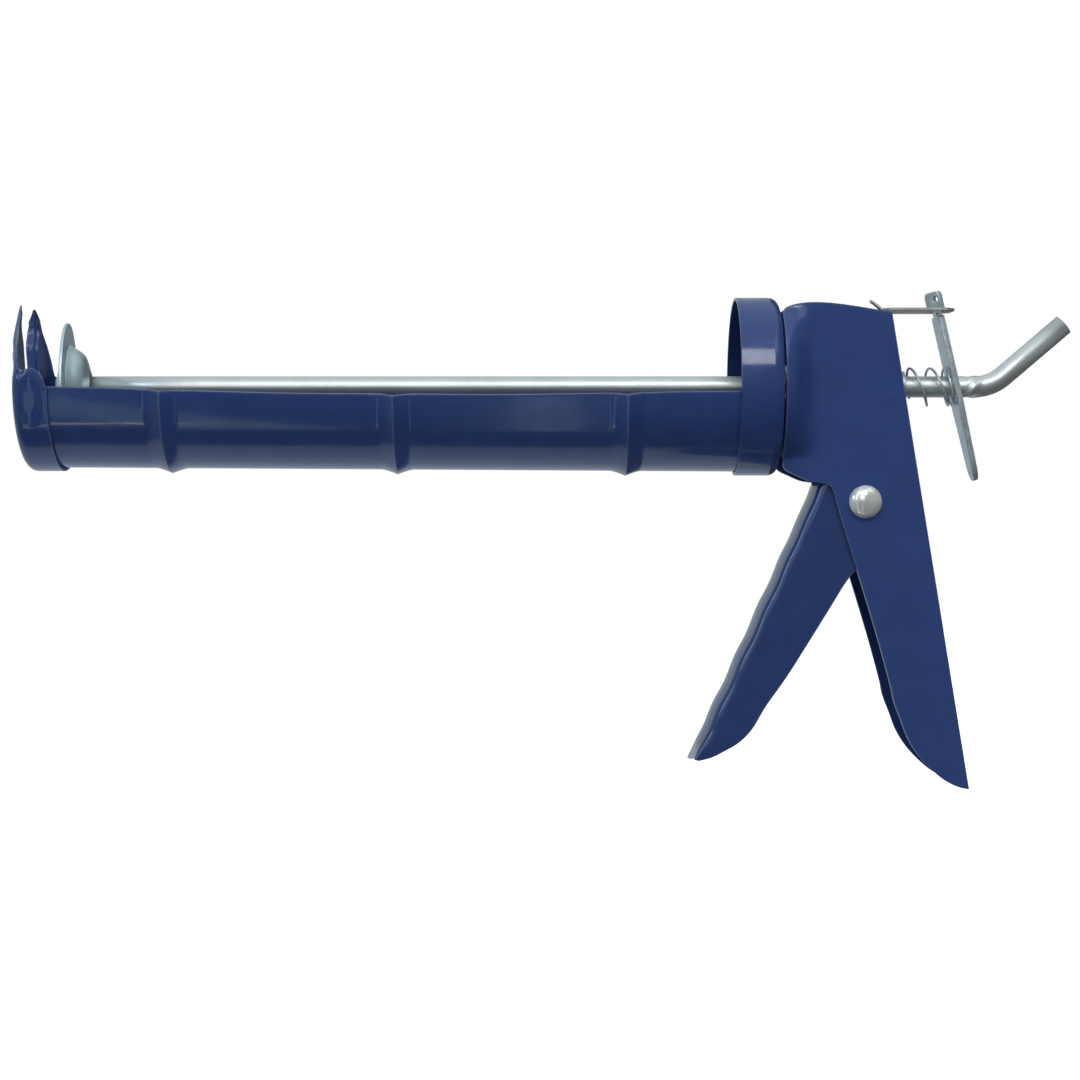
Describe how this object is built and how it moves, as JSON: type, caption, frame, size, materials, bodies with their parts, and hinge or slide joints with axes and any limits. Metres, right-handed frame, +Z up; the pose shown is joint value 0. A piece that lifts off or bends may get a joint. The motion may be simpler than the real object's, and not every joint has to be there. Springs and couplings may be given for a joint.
{
  "type": "caulking gun",
  "caption": "Half-barrel caulking gun: pressed cradle with slotted nose cap, folded handle and trigger, smooth hooked push rod with pusher disc, and a rear release lever.",
  "frame": {"origin": "middle of the gun's bounding box", "axes": "+X along the push rod from the nose to the hook, +Y across the gun, +Z up, with the handle pointing down"},
  "size_m": [0.3166, 0.0538, 0.1496],
  "materials": {
    "cradle_paint": "gloss",
    "nose_cap_paint": "gloss",
    "collar_paint": "gloss",
    "front_guide_zinc": "zinc plated",
    "frame_paint": "gloss",
    "rear_guide_zinc": "zinc plated",
    "bracket_zinc": "zinc plated",
    "rivet_zinc": "zinc plated",
    "washer_zinc": "zinc plated",
    "sleeve_steel": "bare",
    "drive_spring_steel": "spring steel",
    "release_spring_zinc": "zinc plated",
    "trigger_paint": "gloss",
    "grip_plate_steel": "hardened, bare",
    "disc_zinc": "zinc plated",
    "hub_zinc": "zinc plated",
    "nut_zinc": "zinc plated",
    "rod_steel": "bright drawn",
    "lever_zinc": "zinc plated"
  },
  "bodies": {
    "frame": {"cradle": "cradle_paint", "nose_cap": "nose_cap_paint", "rear_collar": "collar_paint", "front_rod_guide": "front_guide_zinc", "handle_frame": "frame_paint", "rear_rod_guide": "rear_guide_zinc", "release_bracket": "bracket_zinc", "trigger_pivot_rivet": "rivet_zinc", "rivet_washer": "washer_zinc", "pivot_sleeve": "sleeve_steel", "drive_spring": "drive_spring_steel", "release_spring": "release_spring_zinc"},
    "trigger": {"trigger": "trigger_paint"},
    "drive": {"grip_plate_front": "grip_plate_steel", "grip_plate_rear": "grip_plate_steel"},
    "pusher": {"pusher_disc": "disc_zinc", "pusher_hub": "hub_zinc", "rod_end_nut": "nut_zinc"},
    "rod": {"push_rod": "rod_steel"},
    "release": {"release_lever": "lever_zinc"}
  },
  "joints": [
    {"name": "pusher_slide", "type": "slide", "parent": "frame", "child": "pusher", "axis": [1, 0, 0], "range_m": [-0.002, 0.204]},
    {"name": "rod_turn", "type": "hinge", "parent": "pusher", "child": "rod", "pos_m": [-0.00212, 0, 0.04598], "axis": [1, 0, 0], "continuous": true},
    {"name": "trigger_pivot", "type": "hinge", "parent": "frame", "child": "trigger", "pos_m": [0.09488, 0, 0.01128], "axis": [0, -1, 0], "range_deg": [0, 25], "stiffness_Nm_per_rad": 0.9, "springref_deg": -20.05},
    {"name": "drive_slide", "type": "slide", "parent": "frame", "child": "drive", "axis": [-1, 0, 0], "range_m": [0, 0.0155], "deforming": ["drive_spring"]},
    {"name": "release_pivot", "type": "hinge", "parent": "frame", "child": "release", "pos_m": [0.11788, 0, 0.06898], "axis": [0, 1, 0], "range_deg": [0, 12], "stiffness_Nm_per_rad": 0.25, "springref_deg": -17.19, "deforming": ["release_spring"]}
  ],
  "couplings": [
    {"joint": "drive_slide", "follows": "trigger_pivot", "m_per_rad": 0.0347}
  ]
}
